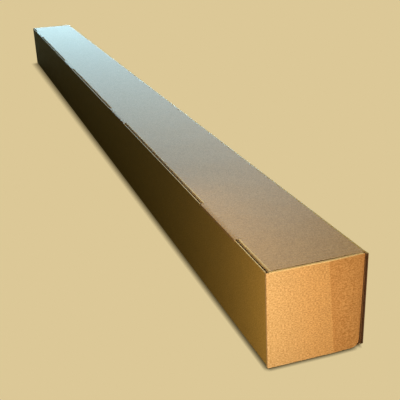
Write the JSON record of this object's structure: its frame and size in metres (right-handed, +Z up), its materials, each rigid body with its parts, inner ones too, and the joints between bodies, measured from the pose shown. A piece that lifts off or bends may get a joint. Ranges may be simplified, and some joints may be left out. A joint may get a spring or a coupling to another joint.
{
  "type": "square cardboard mailing tube",
  "caption": "Long square-section mailing tube folded from corrugated kraft board, with a hinged lid that tucks and locks along one edge and a hinged flap at each end.",
  "frame": {"origin": "under the middle of the bottom panel, on the surface that the tube rests on", "axes": "+Z up; +Y along the tube, away from the near end flap; +X towards the wall that the lid is hinged on"},
  "size_m": [0.113, 1.836, 0.11],
  "materials": {
    "kraft_board": "matt, brown kraft liner"
  },
  "bodies": {
    "tube": {"tube_body": "kraft_board"},
    "lid": {"lid": "kraft_board"},
    "near_flap": {"near_end_flap": "kraft_board"},
    "far_flap": {"far_end_flap": "kraft_board"}
  },
  "joints": [
    {"name": "lid_fold", "type": "hinge", "parent": "tube", "child": "lid", "pos_m": [0.0565, 0, 0.11], "axis": [0, 1, 0], "range_deg": [0, 250]},
    {"name": "near_flap_fold", "type": "hinge", "parent": "tube", "child": "near_flap", "pos_m": [-0.0565, -0.918, 0.055], "axis": [0, 0, -1], "range_deg": [0, 265]},
    {"name": "far_flap_fold", "type": "hinge", "parent": "tube", "child": "far_flap", "pos_m": [-0.0565, 0.918, 0.055], "axis": [0, 0, 1], "range_deg": [0, 265]}
  ]
}
